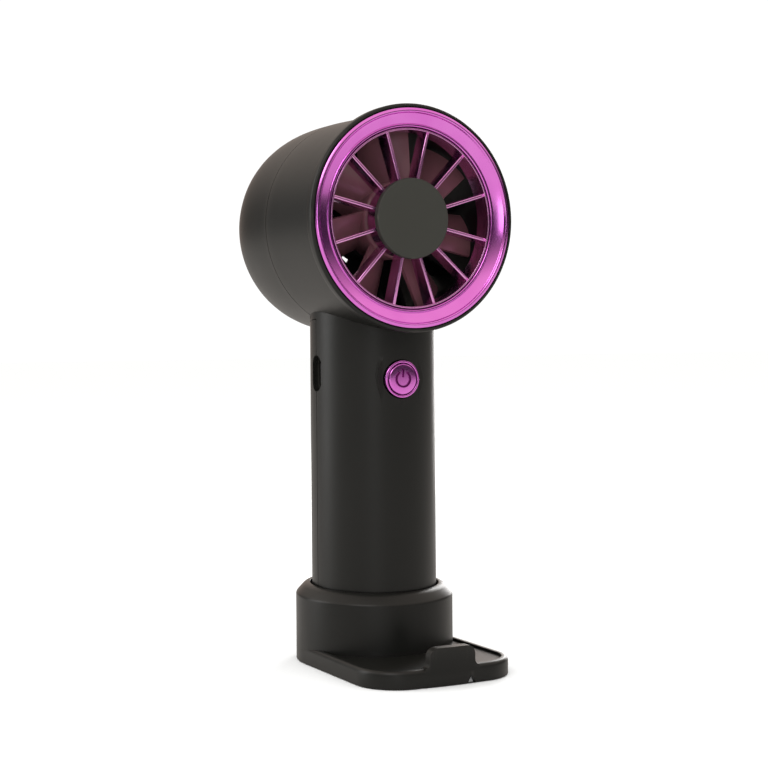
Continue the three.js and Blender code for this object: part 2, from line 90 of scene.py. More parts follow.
camera_data = bpy.data.cameras.new("camera")
camera_data.lens = 77.7
camera_data.sensor_width = 36.0
camera = bpy.data.objects.new("camera", camera_data)
bpy.context.scene.collection.objects.link(camera)
camera.location = (
    CAMERA_DISTANCE * math.sin(CAMERA_AZIMUTH),
    -CAMERA_DISTANCE * math.cos(CAMERA_AZIMUTH),
    CAMERA_HEIGHT,
)
level = Euler((math.pi / 2 - CAMERA_PITCH, 0, CAMERA_AZIMUTH + CAMERA_YAW)).to_matrix()
camera.rotation_euler = (level @ Matrix.Rotation(CAMERA_ROLL, 3, "Z")).to_euler()
bpy.context.scene.camera = camera
print("camera at", [round(v, 4) for v in camera.location])

# %% [markdown]
# ## Adding shader nodes
# A material in Blender is a small graph. One helper adds a node to it, sets its values and links its
# inputs, and another turns the sRGB hex colours that people write into the linear ones that light needs.

# %% Shader helpers
MIX_A, MIX_B, MIX_RESULT = 6, 7, 2  # the colour sockets of a Mix node, which share their names


def add(tree, kind, inputs=None, stops=None, **settings):
    """Adds one shader node. Its inputs take values, or other nodes' outputs to link."""
    node = tree.nodes.new(kind)
    for name, value in settings.items():
        setattr(node, name, value)
    for name, value in (inputs or {}).items():
        if isinstance(value, bpy.types.NodeSocket):
            tree.links.new(value, node.inputs[name])
        else:
            node.inputs[name].default_value = value
    for index, (position, colour) in enumerate(stops or []):
        elements = node.color_ramp.elements
        element = elements[index] if index < 2 else elements.new(position)
        element.position, element.color = position, colour
    return node


def linear(code, alpha=1.0):
    """An sRGB hex colour as the linear values that shaders take."""
    parts = [int(code[i : i + 2], 16) / 255 for i in (1, 3, 5)]
    curve = [c / 12.92 if c <= 0.04045 else ((c + 0.055) / 1.055) ** 2.4 for c in parts]
    return (*curve, alpha)


def grey(value):
    return (value, value, value, 1.0)


def new_material(name):
    """An empty material, its node tree, and the Object coordinates that every pattern reads."""
    material = bpy.data.materials.new(name)
    material.use_nodes = True
    material.node_tree.nodes.clear()
    tree = material.node_tree
    return material, tree, add(tree, "ShaderNodeTexCoord").outputs["Object"]


def per_metre(millimetres):
    """The Scale of a texture whose pattern repeats about every so many millimetres."""
    return 1 / (millimetres * MM)


# %% [markdown]
# ## Floor, sky and lamps
# A pale floor and a white sky behind it, as on a product table. The even white sky also lights every
# matt surface, and leaves only a soft shadow under the stand. What the fan reflects is different: a dim
# room with a bright ceiling and a bright wall behind, because black plastic looks black only when it has
# something dark to reflect. A few large soft lamps then shape the round pieces.

# %% Floor of white card
card, tree, place = new_material("matt_white_card")
fibres = add(tree, "ShaderNodeTexNoise", {"Vector": place, "Scale": per_metre(1.2)})
shade = add(
    tree,
    "ShaderNodeMix",
    {0: fibres.outputs["Fac"], MIX_A: linear("#f6f6f5"), MIX_B: linear("#fbfbfa")},
    data_type="RGBA",
)
mirrored = add(  # a little darker where the fan reflects it, as if the card were a small sheet
    tree,
    "ShaderNodeMix",
    {
        0: add(tree, "ShaderNodeLightPath").outputs["Is Glossy Ray"],
        MIX_A: shade.outputs[MIX_RESULT],
        MIX_B: linear("#d2ccc6"),
    },
    data_type="RGBA",
)
surface = add(
    tree,
    "ShaderNodeBsdfPrincipled",
    {"Base Color": mirrored.outputs[MIX_RESULT], "Roughness": 0.95, "Specular IOR Level": 0.0},
)
add(tree, "ShaderNodeOutputMaterial", {"Surface": surface.outputs["BSDF"]})

floor_mesh = bmesh.new()
bmesh.ops.create_grid(floor_mesh, x_segments=1, y_segments=1, size=6.0)
floor_data = bpy.data.meshes.new("floor")
floor_mesh.to_mesh(floor_data)
floor_mesh.free()
floor_data.materials.append(card)
floor = bpy.data.objects.new("floor", floor_data)
bpy.context.scene.collection.objects.link(floor)

# %% Sky
SKY_STRENGTH = 1.06
BACK_WALL_WAY = (0.455, 0.89, 0.0)  # straight away from the camera, so that edges catch its light
world = bpy.data.worlds.new("studio")
world.use_nodes = True
tree = world.node_tree
tree.nodes.clear()
direction = add(tree, "ShaderNodeTexCoord").outputs["Generated"]
height = add(tree, "ShaderNodeSeparateXYZ", {"Vector": direction}).outputs["Z"]
ceiling = add(
    tree,
    "ShaderNodeValToRGB",
    {"Fac": height},
    stops=[(0.0, grey(0.02)), (0.5, linear("#fff1e6")), (0.22, grey(0.06))],
)
away = add(
    tree,
    "ShaderNodeVectorMath",
    {0: direction, 1: BACK_WALL_WAY},
    operation="DOT_PRODUCT",
)
back_wall = add(
    tree,
    "ShaderNodeValToRGB",
    {"Fac": away.outputs["Value"]},
    stops=[(0.72, grey(0.0)), (0.96, linear("#ffe9db"))],
)
room_light = add(
    tree,
    "ShaderNodeMix",
    {0: 1.0, MIX_A: ceiling.outputs["Color"], MIX_B: back_wall.outputs["Color"]},
    data_type="RGBA",
    blend_type="LIGHTEN",
)
plain = add(tree, "ShaderNodeBackground", {"Color": grey(1.0), "Strength": SKY_STRENGTH})
reflected = add(
    tree, "ShaderNodeBackground", {"Color": room_light.outputs[MIX_RESULT], "Strength": 1.0}
)
glossy = add(tree, "ShaderNodeLightPath").outputs["Is Glossy Ray"]
sky = add(
    tree,
    "ShaderNodeMixShader",
    {0: glossy, 1: plain.outputs["Background"], 2: reflected.outputs["Background"]},
)
add(tree, "ShaderNodeOutputWorld", {"Surface": sky.outputs["Shader"]})
world.cycles.sampling_method = "NONE"
bpy.context.scene.world = world
bpy.context.scene.view_settings.view_transform = "Standard"

# %% Lamps


def soft_lamp(name, place_m, target_m, size_m, watts, spread=180):
    """A rectangular soft box that faces a point."""
    data = bpy.data.lights.new(name, "AREA")
    data.shape = "RECTANGLE"
    data.size, data.size_y = size_m
    data.energy = watts
    data.spread = math.radians(spread)
    lamp = bpy.data.objects.new(name, data)
    bpy.context.scene.collection.objects.link(lamp)
    lamp.location = place_m
    facing = Vector(target_m) - Vector(place_m)
    lamp.rotation_euler = facing.to_track_quat("-Z", "Y").to_euler()
    return lamp


soft_lamp("key_above_left", (-0.75, -0.75, 0.95), (0, 0, 0.12), (0.6, 0.6), 4)
soft_lamp("front_left", (-0.6, -1.3, 0.2), (0, 0, 0.14), (0.35, 0.35), 0.9)
soft_lamp("edge_left", (-0.8, 0.45, 0.3), (0, 0, 0.1), (0.35, 0.9), 4)
soft_lamp("edge_right", (0.7, 0.65, 0.3), (0, 0, 0.1), (0.3, 0.9), 6)
print("lamps:", len(bpy.data.lights))

# %% [markdown]
# ## Moulded plastic
# The casing and the stand are ABS, injection moulded in a steel tool whose walls were spark-eroded to a
# fine satin. That leaves a grain of about a twentieth of a millimetre, which spreads reflections, and
# slow changes in gloss where the plastic cooled unevenly. The real grain is too fine to show, so it is
# drawn here about six times as coarse. Handling polishes the sharp edges a little.

# %% Satin and gloss mouldings


def moulded(name, colour, sheen_colour, roughness, grain_mm, grain_depth, edge_colour=None):
    """Injection-moulded plastic: slow patches of colour and gloss, a fine grain, and rubbed edges."""
    material, tree, place = new_material(name)
    patches = add(
        tree,
        "ShaderNodeTexNoise",
        {"Vector": place, "Scale": per_metre(28), "Detail": 4.0, "Roughness": 0.55},
    )
    grain = add(
        tree,
        "ShaderNodeTexNoise",
        {"Vector": place, "Scale": per_metre(grain_mm), "Detail": 2.0, "Roughness": 0.6},
    )
    base = add(
        tree,
        "ShaderNodeMix",
        {0: patches.outputs["Fac"], MIX_A: linear(colour), MIX_B: linear(sheen_colour)},
        data_type="RGBA",
    ).outputs[MIX_RESULT]
    if edge_colour:
        edges = add(
            tree,
            "ShaderNodeValToRGB",
            {"Fac": add(tree, "ShaderNodeNewGeometry").outputs["Pointiness"]},
            stops=[(0.53, grey(0.0)), (0.62, grey(0.7))],
        )
        base = add(
            tree,
            "ShaderNodeMix",
            {0: edges.outputs["Color"], MIX_A: base, MIX_B: linear(edge_colour)},
            data_type="RGBA",
        ).outputs[MIX_RESULT]
    gloss = add(
        tree,
        "ShaderNodeMapRange",
        {"Value": patches.outputs["Fac"], "To Min": roughness - 0.05, "To Max": roughness + 0.05},
    )
    relief = add(
        tree,
        "ShaderNodeBump",
        {"Height": grain.outputs["Fac"], "Strength": 0.35, "Distance": grain_depth * MM},
    )
    surface = add(
        tree,
        "ShaderNodeBsdfPrincipled",
        {
            "Base Color": base,
            "Roughness": gloss.outputs["Result"],
            "Normal": relief.outputs["Normal"],
            "IOR": 1.52,
            "Specular IOR Level": 0.27,
        },
    )
    add(tree, "ShaderNodeOutputMaterial", {"Surface": surface.outputs["BSDF"]})
    return material


satin_abs = moulded("satin_black_abs", "#0f100e", "#151513", 0.4, 0.35, 0.02, "#282623")
cap_abs = moulded("matt_grey_abs", "#2e2e29", "#33332e", 0.6, 0.4, 0.02, "#45443e")
smoked_plastic = moulded("smoked_polycarbonate", "#6a474c", "#7a5459", 0.28, 0.9, 0.01)
duct_abs = moulded("dark_duct_abs", "#100f10", "#171617", 0.5, 0.4, 0.02)
cradle_abs = moulded("cradle_abs", "#1c1c1e", "#242426", 0.55, 0.4, 0.02)
switch_resin = moulded("switch_resin", "#161618", "#1e1e20", 0.5, 0.3, 0.01)
white_acetal = moulded("white_acetal", "#cfc9bc", "#dcd6c9", 0.45, 0.3, 0.01)
cell_wrap = moulded("pvc_shrink_wrap", "#3a68a8", "#4674b5", 0.35, 1.2, 0.03)
red_vinyl = moulded("red_vinyl_insulation", "#981c1c", "#ab2424", 0.45, 0.5, 0.01)
black_vinyl = moulded("black_vinyl_insulation", "#121214", "#1a1a1c", 0.45, 0.5, 0.01)
grey_silicone = moulded("pale_grey_silicone", "#d4d4d4", "#e0e0e0", 0.8, 0.5, 0.03)
solder_resist = moulded("green_solder_resist", "#164a2e", "#1f5f3d", 0.4, 0.8, 0.01)

# %% [markdown]
# ## Metal and plating
# The ring, the vanes and the button are ABS too, but vacuum-plated: a mirror of aluminium a few
# thousandths of a millimetre thick under a clear magenta lacquer. A metal shader with a pink base colour
# gives that. Two things keep it from looking like computer chrome: the moulding under it is never quite
# flat, so the reflections wander slowly, and the lacquer carries a very fine orange peel.

# %% Plated mirror and plain steel


def plated(name, colour, deep_colour, roughness, wander_mm, wander_depth):
    """Lacquered mirror plating over a moulding that isn't quite flat."""
    material, tree, place = new_material(name)
    wander = add(
        tree,
        "ShaderNodeTexNoise",
        {"Vector": place, "Scale": per_metre(wander_mm), "Detail": 1.0},
    )
    peel = add(
        tree,
        "ShaderNodeTexNoise",
        {"Vector": place, "Scale": per_metre(0.5), "Detail": 2.0},
    )
    lacquer = add(
        tree,
        "ShaderNodeMix",
        {0: wander.outputs["Fac"], MIX_A: linear(deep_colour), MIX_B: linear(colour)},
        data_type="RGBA",
    )
    gloss = add(
        tree,
        "ShaderNodeMapRange",
        {"Value": peel.outputs["Fac"], "To Min": roughness - 0.03, "To Max": roughness + 0.04},
    )
    slow = add(
        tree,
        "ShaderNodeBump",
        {"Height": wander.outputs["Fac"], "Strength": 0.5, "Distance": wander_depth * MM},
    )
    fine = add(
        tree,
        "ShaderNodeBump",
        {
            "Height": peel.outputs["Fac"],
            "Normal": slow.outputs["Normal"],
            "Strength": 0.15,
            "Distance": 0.004 * MM,
        },
    )
    surface = add(
        tree,
        "ShaderNodeBsdfPrincipled",
        {
            "Base Color": lacquer.outputs[MIX_RESULT],
            "Metallic": 1.0,
            "Roughness": gloss.outputs["Result"],
            "Normal": fine.outputs["Normal"],
        },
    )
    add(tree, "ShaderNodeOutputMaterial", {"Surface": surface.outputs["BSDF"]})
    return material


magenta_plating = plated("magenta_mirror_plating", "#eb8cea", "#df72dc", 0.17, 9, 0.05)
deep_plating = plated("deep_magenta_plating", "#7a2672", "#611a5a", 0.3, 6, 0.03)
pink_plating = plated("pink_mirror_plating", "#f0b4e8", "#e493da", 0.24, 6, 0.04)
nickel_strip = plated("nickel_strip", "#cfcabd", "#bdb8aa", 0.3, 5, 0.02)


def turned_steel(name, colour, roughness, mark_mm):
    """Machined steel: fine marks across one direction and a slightly oily, uneven gloss."""
    material, tree, place = new_material(name)
    stretched = add(
        tree,
        "ShaderNodeMapping",
        {"Vector": place, "Scale": (1.0, 14.0, 1.0)},
    )
    marks = add(
        tree,
        "ShaderNodeTexNoise",
        {"Vector": stretched.outputs["Vector"], "Scale": per_metre(mark_mm * 14), "Detail": 3.0},
    )
    stain = add(tree, "ShaderNodeTexNoise", {"Vector": place, "Scale": per_metre(6), "Detail": 3.0})
    tone = add(
        tree,
        "ShaderNodeMix",
        {0: stain.outputs["Fac"], MIX_A: linear(colour), MIX_B: linear("#7d7c7a")},
        data_type="RGBA",
    )
    gloss = add(
        tree,
        "ShaderNodeMapRange",
        {"Value": marks.outputs["Fac"], "To Min": roughness - 0.08, "To Max": roughness + 0.1},
    )
    relief = add(
        tree,
        "ShaderNodeBump",
        {"Height": marks.outputs["Fac"], "Strength": 0.3, "Distance": 0.01 * MM},
    )
    surface = add(
        tree,
        "ShaderNodeBsdfPrincipled",
        {
            "Base Color": tone.outputs[MIX_RESULT],
            "Metallic": 1.0,
            "Roughness": gloss.outputs["Result"],
            "Normal": relief.outputs["Normal"],
        },
    )
    add(tree, "ShaderNodeOutputMaterial", {"Surface": surface.outputs["BSDF"]})
    return material


zinc_steel = turned_steel("zinc_plated_steel", "#a6a8ac", 0.35, 0.15)
laminated_steel = turned_steel("laminated_silicon_steel", "#8a8478", 0.5, 0.35)
sintered_magnet = turned_steel("sintered_ferrite", "#3a3a3e", 0.65, 0.2)
print("materials:", len(bpy.data.materials))

# %% [markdown]
# ## Turning pieces on a lathe
# Most of the fan is round, so most pieces start as an outline that is spun about an axis, as on a
# lathe. An outline is a list of (radius, distance along the axis, rounding), in millimetres. Its corners
# are rounded with a vertex bevel before the spin, because one rounded corner on the outline becomes a
# clean rounded edge all the way around. An outline that starts and ends on the axis makes a solid.

# %% Outlines, spinning and finishing
ALONG_Y = Vector((0, 1, 0))
ALONG_Z = Vector((0, 0, 1))


def outline_edges(work, outline, axis, centre_z, closed):
    """Draws the outline in the half plane x > 0, and rounds the corners that ask for it."""
    corners = []
    for radius, along, *rounding in outline:
        spot = (radius, along, centre_z) if axis is ALONG_Y else (radius, 0, along + centre_z)
        corners.append((work.verts.new(Vector(spot) * MM), rounding[0] if rounding else 0))
    verts = [vert for vert, _ in corners]
    pairs = list(zip(verts, verts[1:])) + ([(verts[-1], verts[0])] if closed else [])
    for pair in pairs:
        work.edges.new(pair)
    for vert, rounding in corners:
        if rounding:
            bmesh.ops.bevel(
                work,
                geom=[vert],
                offset=rounding * MM,
                offset_type="OFFSET",
                segments=5,
                profile=0.5,
                affect="VERTICES",
                clamp_overlap=True,
                material=-1,
            )


def turned(outline, axis=ALONG_Y, centre_z=None, steps=96):
    """Spins an outline into a closed solid and returns it as a new bmesh."""
    centre_z = BARREL_Z if centre_z is None else centre_z
    work = bmesh.new()
    on_axis = outline[0][0] == 0
    outline_edges(work, outline, axis, centre_z, closed=not on_axis)
    bmesh.ops.spin(
        work,
        geom=work.verts[:] + work.edges[:],
        cent=(0, 0, centre_z * MM),
        axis=axis,
        angle=2 * math.pi,
        steps=steps,
        use_merge=True,
    )
    return tidied(work)


def tidied(work):
    """Merges doubled points, drops faces with no area and turns every face outwards."""
    bmesh.ops.remove_doubles(work, verts=work.verts[:], dist=0.0005 * MM)
    bmesh.ops.dissolve_degenerate(work, edges=work.edges[:], dist=0.0002 * MM)
    bmesh.ops.recalc_face_normals(work, faces=work.faces[:])
    return work


def bar(low, high, bevel=0.0, segments=2):
    """A straight bar between two corners, in millimetres, with its edges rounded."""
    low, high = Vector(low), Vector(high)
    work = bmesh.new()
    size = Matrix.Diagonal((*((high - low) * MM), 1))
    bmesh.ops.create_cube(work, size=1, matrix=Matrix.Translation((low + high) / 2 * MM) @ size)
    if bevel:
        bmesh.ops.bevel(
            work,
            geom=work.edges[:],
            offset=bevel * MM,
            offset_type="OFFSET",
            segments=segments,
            profile=0.5,
            affect="EDGES",
            clamp_overlap=True,
            material=-1,
        )
    return work


def around_barrel(pattern, count, first_degrees=0.0):
    """Copies of a bmesh, spread evenly around the barrel's axis, in one new bmesh."""
    work = bmesh.new()
    centre = Vector((0, 0, BARREL_Z * MM))
    for i in range(count):
        mesh = bpy.data.meshes.new("pattern")
        pattern.to_mesh(mesh)
        turn = Matrix.Rotation(math.radians(first_degrees + i * 360 / count), 4, ALONG_Y)
        mesh.transform(Matrix.Translation(centre) @ turn @ Matrix.Translation(-centre))
        work.from_mesh(mesh)
        bpy.data.meshes.remove(mesh)
    return work


def gathered(*parts):
    """Several bmeshes as one, side by side."""
    work = bmesh.new()
    for part in parts:
        mesh = bpy.data.meshes.new("part")
        part.to_mesh(mesh)
        work.from_mesh(mesh)
        part.free()
        bpy.data.meshes.remove(mesh)
    return work


# %% Joining and cutting


def as_object(work, name):
    mesh = bpy.data.meshes.new(name)
    work.to_mesh(mesh)
    work.free()
    thing = bpy.data.objects.new(name, mesh)
    bpy.context.scene.collection.objects.link(thing)
    return thing


def combined(start, *steps):
    """Applies Boolean steps in turn, each ("UNION" | "DIFFERENCE" | "INTERSECT", bmesh), to a bmesh."""
    base = as_object(start, "base")
    tools = []
    for operation, work in steps:
        tool = as_object(work, "tool")
        modifier = base.modifiers.new(operation, "BOOLEAN")
        modifier.operation, modifier.solver, modifier.object = operation, "EXACT", tool
        tools.append(tool)
    bpy.context.view_layer.update()
    result = bpy.data.meshes.new_from_object(
        base.evaluated_get(bpy.context.evaluated_depsgraph_get())
    )
    work = bmesh.new()
    work.from_mesh(result)
    for thing in [base, *tools]:
        mesh = thing.data
        bpy.data.objects.remove(thing)
        bpy.data.meshes.remove(mesh)
    bpy.data.meshes.remove(result)
    bmesh.ops.remove_doubles(work, verts=work.verts[:], dist=0.001 * MM)
    return work


def finished(work, name, material, slot, body, *nodes, sharp_degrees=32):
    """Makes the piece an object: smooth shading with sharp edges kept, on its body, for its nodes."""
    open_edges = sum(1 for edge in work.edges if len(edge.link_faces) != 2)
    piece = as_object(work, name)
    piece.data.materials.append(material)
    piece.data.shade_smooth()
    piece.data.set_sharp_from_angle(angle=math.radians(sharp_degrees))
    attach(piece, body)
    if nodes:
        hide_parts(*nodes)
    print(f"{name}: {len(piece.data.polygons)} faces, {open_edges} edges not between two faces")
    return piece


# %% [markdown]
# ## The casing
# The casing is two moulded half shells. They meet on a plane through the handle's axis, and around the
# barrel the seam steps back to where the dome begins. The front half carries the barrel's wall, the
# raised lip around the ring, the front of the handle, and a round pocket for the button. The rear half
# carries the domed back. The barrel's skin sits a little lower than the lip, so the lip stands proud on
# top and runs out into the skin underneath.

# %% Barrel outlines
LIP_RADIUS, LIP_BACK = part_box("front_shell")[1].x / MM, -27.0
SKIN_Z = middle("rear_grille").z / MM  # the axis of the barrel's outer skin and of the dome
SKIN_FRONT, SKIN_SEAM, SEAM_Y = 35.1, 35.9, 6.6
DOME_DEPTH, DOME_POWER = 42.0, 3.8  # the dome's curve would meet the axis this far behind the seam
WALL = 2.0
ROOM_RADIUS = 32.8  # the barrel's inside, around the duct
POCKET_RADIUS, POCKET_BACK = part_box("bezel_ring")[1].x / MM + 0.3, -28.0


def dome_points(end, shrink, count=18):
    """The domed back as (radius, y): a rounded-square curve that leaves the seam with no kink."""
    points = []
    for i in range(1, count + 1):
        rise = (end - SEAM_Y) * math.sin(i / count * math.pi / 2)
        share = 1 - (rise / (DOME_DEPTH - shrink)) ** DOME_POWER
        points.append(((SKIN_SEAM - shrink) * share ** (1 / DOME_POWER), SEAM_Y + rise))
    return points


def skin_points(count=8):
    """The barrel's wall as (radius, y), in short steps from behind the lip to the seam."""
    start = LIP_BACK - 1
    return [
        (SKIN_FRONT + (SKIN_SEAM - SKIN_FRONT) * i / count, start + (SEAM_Y - start) * i / count)
        for i in range(count + 1)
    ]


lip_outside = [(0, MOUTH_Y), (LIP_RADIUS, MOUTH_Y, 0.9), (LIP_RADIUS, LIP_BACK, 0.4), (0, LIP_BACK)]
skin_outside = [(0, LIP_BACK - 1), *skin_points(), *dome_points(BACK_Y, 0), (0, BACK_Y)]
room = [
    (0, MOUTH_Y - 1),
    (POCKET_RADIUS, MOUTH_Y - 1),
    (POCKET_RADIUS, POCKET_BACK),
    (ROOM_RADIUS, POCKET_BACK),
    (ROOM_RADIUS, SEAM_Y),
    (0, SEAM_Y),
]
dome_room = [
    (0, SEAM_Y - 1),
    (SKIN_SEAM - WALL, SEAM_Y - 1),
    *dome_points(BACK_Y - WALL, WALL),
    (0, BACK_Y - WALL),
]

# %% Joined casing, still whole
HANDLE_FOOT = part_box("front_shell")[0].z / MM


def round_bar(radius, low, high, axis, centre_z, steps=64):
    return turned([(0, low), (radius, low), (radius, high), (0, high)], axis, centre_z, steps)


def handle_bar(radius, low, high, rings=24):
    """An upright bar with rings up its length, so that its faces stay small where it meets the barrel."""
    wall = [(radius, low + (high - low) * i / rings) for i in range(rings + 1)]
    return turned([(0, low), *wall, (0, high)], ALONG_Z, 0, 128)


def port_bar(height, width, low_x, high_x):
    """An upright oblong bar along X, for the charging recess."""
    work = bar((low_x, -width / 2, PORT_Z - height / 2), (high_x, width / 2, PORT_Z + height / 2))
    long_edges = [
        edge for edge in work.edges if abs(edge.verts[0].co.x - edge.verts[1].co.x) > 0.5 * MM
    ]
    bmesh.ops.bevel(
        work,
        geom=long_edges,
        offset=(width / 2 - 0.01) * MM,
        offset_type="OFFSET",
        segments=12,
        profile=0.5,
        affect="EDGES",
        clamp_overlap=True,
        material=-1,
    )
    return work


def front_zone(gap):
    """Everything in front of the parting plane, which steps back around the barrel."""
    side = gap / 2
    return combined(
        bar((-60, -60, 0), (60, -side, 200)),
        ("UNION", round_bar(LIP_RADIUS + 1 - side, -61, SEAM_Y - side, ALONG_Y, SKIN_Z, 160)),
    )


PAD_HALF_DEPTH, PAD_HALF_HEIGHT = 5.2, 8.6  # the thicker wall around the charging recess


def casing_steps():
    """The steps that join the barrel and the handle and hollow them both."""
    port_pad = bar(
        (-20, -PAD_HALF_DEPTH, PORT_Z - PAD_HALF_HEIGHT),
        (-17.2, PAD_HALF_DEPTH, PORT_Z + PAD_HALF_HEIGHT),
    )
    return [
        ("UNION", turned(lip_outside, steps=160)),
        ("UNION", handle_bar(HANDLE_RADIUS, HANDLE_FOOT, BARREL_Z - 4)),
        ("DIFFERENCE", turned(room, steps=160)),
        ("DIFFERENCE", turned(dome_room, centre_z=SKIN_Z, steps=160)),
        ("DIFFERENCE", handle_bar(HANDLE_RADIUS - WALL, HANDLE_FOOT - 1, BARREL_Z)),
        ("UNION", port_pad),
        ("DIFFERENCE", port_bar(height=12, width=6.6, low_x=-24, high_x=-19.2)),
        ("DIFFERENCE", port_bar(height=9.6, width=3.9, low_x=-24, high_x=-15)),
    ]


SEAM_GAP = 0.3
BUTTON_PAD, BEZEL_POCKET, BUTTON_HOLE = 8.4, 6.45, 5.7  # radii of the steps around the button
front = combined(
    turned(skin_outside, centre_z=SKIN_Z, steps=160),
    *casing_steps(),
    ("INTERSECT", front_zone(SEAM_GAP)),
    ("UNION", round_bar(BUTTON_PAD, -19.8, -17.5, ALONG_Y, BUTTON_Z)),
    ("DIFFERENCE", round_bar(BEZEL_POCKET, -24, -18.6, ALONG_Y, BUTTON_Z)),
    ("DIFFERENCE", round_bar(BUTTON_HOLE, -24, -15, ALONG_Y, BUTTON_Z)),
)
finished(front, "front_casing", satin_abs, "black_shell", "fan_body", "front_shell")

# %% [markdown]
# ## The rear half
# The back is hidden from the front, so it is designed as such fans are: a round opening for the intake
# grille in the dome, and four screws in deep round wells, two beside the handle's top and two low down.

# %% Rear casing
SCREW_X, SCREW_HEIGHTS, SCREW_WELL, WELL_FLOOR_Y = 15.2, (22, 108), 2.3, 4.3
GRILLE_OPENING = 21.5
wells = []
for height in SCREW_HEIGHTS:
    for side in (-1, 1):
        well = round_bar(SCREW_WELL, WELL_FLOOR_Y, 24, ALONG_Y, height, 32)
        bmesh.ops.translate(well, verts=well.verts[:], vec=(side * SCREW_X * MM, 0, 0))
        wells.append(("DIFFERENCE", well))
rear = combined(
    turned(skin_outside, centre_z=SKIN_Z, steps=160),
    *casing_steps(),
    ("DIFFERENCE", front_zone(-SEAM_GAP)),
    ("DIFFERENCE", round_bar(GRILLE_OPENING, 40, BACK_Y + 1, ALONG_Y, SKIN_Z, 128)),
    *wells,
)
finished(rear, "rear_casing", satin_abs, "black_shell", "fan_body", "rear_shell")

# %% [markdown]
# ## The plated ring
# The ring is the piece that the eye goes to. From the outside in it has a rounded bright lip, a narrow
# dark step, a wide band that slopes inwards like a funnel, and a second thin lip around the opening.
# Each of those faces catches a different part of the room, which is what makes plating look like metal.

# %% Bezel ring
ring_low, ring_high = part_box("bezel_ring")
RING_OUTER = ring_high.x / MM
RING_FRONT, RING_BACK = ring_low.y / MM, ring_high.y / MM
RING_INNER, RING_WAIST, RING_STEP = 29.3, 32.4, -28.3
ring_outline = [
    (RING_WAIST, RING_BACK),
    (RING_WAIST, RING_STEP),
    (RING_OUTER, RING_STEP),
    (RING_OUTER, RING_FRONT + 0.45, 0.2),
    (RING_OUTER - 0.75, RING_FRONT, 0.35),
    (RING_OUTER - 1.35, RING_FRONT + 0.05, 0.25),
    (RING_OUTER - 1.75, RING_FRONT + 0.75, 0.1),
    (RING_INNER + 1.1, RING_FRONT + 2.3, 0.15),
    (RING_INNER + 0.85, RING_FRONT + 2.0, 0.12),
    (RING_INNER + 0.25, RING_FRONT + 2.0, 0.15),
    (RING_INNER, RING_FRONT + 2.4, 0.15),
    (RING_INNER, RING_BACK),
]
ring = turned(ring_outline, steps=192)
finished(ring, "plated_ring", magenta_plating, "plated_magenta", "fan_body", "bezel_ring", sharp_degrees=24)

# %% [markdown]
# ## The guard
# Behind the ring sits one moulding of a thin hoop, a hub and twelve flat vanes on edge. The vanes are a
# millimetre thick and about seven deep, so from the front they are bright lines, and from the side they
# are dark blades. Their front edges are rounded, because plating never takes on a sharp corner.

# %% Front guard
HOOP_INNER, HOOP_OUTER = 28.4, 28.95
HOOP_FRONT, HOOP_FOOT, HOOP_BACK = -28.8, -22.8, -21.8  # its foot widens to the ring's waist
HUB_BORE, HUB_INSIDE, HUB_RADIUS = 2.8, 11, 12.2
HUB_FRONT, HUB_WEB, HUB_BACK = -27.3, -24.9, -21.2  # a cup, open at the back
guard_hoop = turned(
    [
        (HOOP_INNER, HOOP_FRONT, 0.15),
        (HOOP_OUTER, HOOP_FRONT, 0.15),
        (HOOP_OUTER, HOOP_FOOT),
        (RING_WAIST, HOOP_FOOT),
        (RING_WAIST, HOOP_BACK),
        (HOOP_INNER, HOOP_BACK),
    ],
    steps=160,
)
guard_hub = turned(
    [
        (HUB_BORE, HUB_FRONT),
        (HUB_RADIUS, HUB_FRONT, 0.3),
        (HUB_RADIUS, HUB_BACK),
        (HUB_INSIDE, HUB_BACK),
        (HUB_INSIDE, HUB_WEB),
        (HUB_BORE, HUB_WEB),
    ],
    steps=96,
)
VANE_COUNT, VANE_FIRST = 12, 13
VANE_ROOT, VANE_TIP, VANE_FRONT, VANE_BACK, HALF_VANE = 11.7, 28.6, -28.1, -21.3, 0.5
UNDER_CAP = 13.6
vane = bar(
    (VANE_ROOT, VANE_FRONT, BARREL_Z - HALF_VANE),
    (VANE_TIP, VANE_BACK, BARREL_Z + HALF_VANE),
    bevel=0.3,
    segments=3,
)
for vert in vane.verts:  # the vane's root steps back under the hub cap
    if vert.co.x < UNDER_CAP * MM and vert.co.y < HUB_FRONT * MM:
        vert.co.y = -27.25 * MM
vanes = around_barrel(vane, VANE_COUNT, VANE_FIRST)
vane.free()
guard = gathered(guard_hoop, guard_hub, vanes)
finished(guard, "vaned_guard", pink_plating, "plated_magenta", "fan_body", "front_guard")

# %% [markdown]
# ## The hub cap
# A flat disc of matt grey plastic covers the guard's hub. Its rim is rounded by half a millimetre, and
# that narrow curve is the only part of it that catches light.

# %% Hub cap
cap_low, cap_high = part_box("hub_cap")
CAP_RADIUS, CAP_FRONT = cap_high.x / MM, cap_low.y / MM
CAP_THICKNESS, PEG_RADIUS, PEG_REACH = 2, 2.5, 4.2
cap_disc = turned(
    [
        (0, CAP_FRONT),
        (CAP_RADIUS * 0.55, CAP_FRONT),
        (CAP_RADIUS, CAP_FRONT, 0.55),
        (CAP_RADIUS, CAP_FRONT + CAP_THICKNESS),
        (PEG_RADIUS, CAP_FRONT + CAP_THICKNESS),
        (PEG_RADIUS, CAP_FRONT + PEG_REACH),
        (0, CAP_FRONT + PEG_REACH),
    ],
    steps=128,
)
finished(cap_disc, "hub_cap_disc", cap_abs, "grey_cap", "fan_body", "hub_cap")

